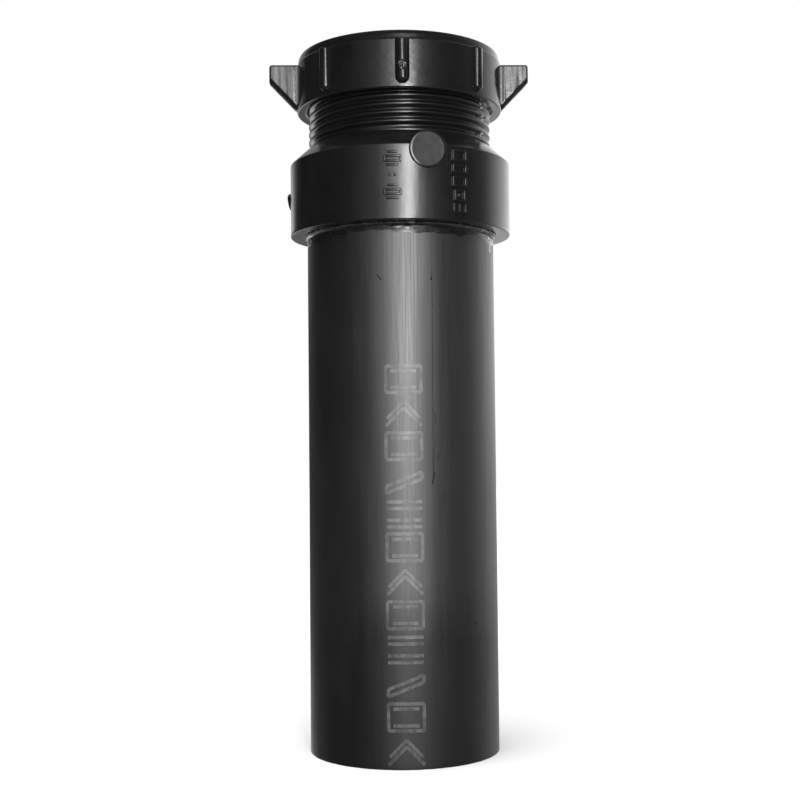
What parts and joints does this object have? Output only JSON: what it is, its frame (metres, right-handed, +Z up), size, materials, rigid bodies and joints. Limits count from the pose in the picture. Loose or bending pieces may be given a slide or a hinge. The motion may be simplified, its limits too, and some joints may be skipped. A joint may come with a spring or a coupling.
{
  "type": "trap adapter on drain pipe",
  "caption": "Length of black plastic drain pipe with a cemented trap adapter and a two-winged slip-joint nut that screws up and down over a tapered washer.",
  "frame": {"origin": "centre of the pipe's cut lower end, on the pipe's axis", "axes": "+Z up the pipe towards the nut; -Y is the front, with the round pad just right of it; the wings lie along X"},
  "size_m": [0.0678, 0.0576, 0.1785],
  "materials": {
    "pipe_plastic": "extruded black ABS, semi-matt with fine drawn lines and light scratches",
    "cement": "glossy dried black solvent cement",
    "fitting_plastic": "injection-moulded black ABS, glossy",
    "washer_plastic": "milky polyethylene",
    "nut_plastic": "injection-moulded black plastic, glossy"
  },
  "bodies": {
    "pipe_body": {"drain_pipe": "pipe_plastic", "cement_joint": "cement", "trap_adapter": "fitting_plastic"},
    "washer": {"slip_washer": "washer_plastic"},
    "nut": {"slip_nut": "nut_plastic"}
  },
  "joints": [
    {"name": "washer_lift", "type": "slide", "parent": "pipe_body", "child": "washer", "axis": [0, 0, 1], "range_m": [0, 0.0082]},
    {"name": "nut_turn", "type": "hinge", "parent": "washer", "child": "nut", "pos_m": [0, 0, 0.1713], "axis": [0, 0, 1], "range_deg": [0, 1380]}
  ],
  "couplings": [
    {"joint": "washer_lift", "follows": "nut_turn", "m_per_rad": 0.00033693}
  ]
}
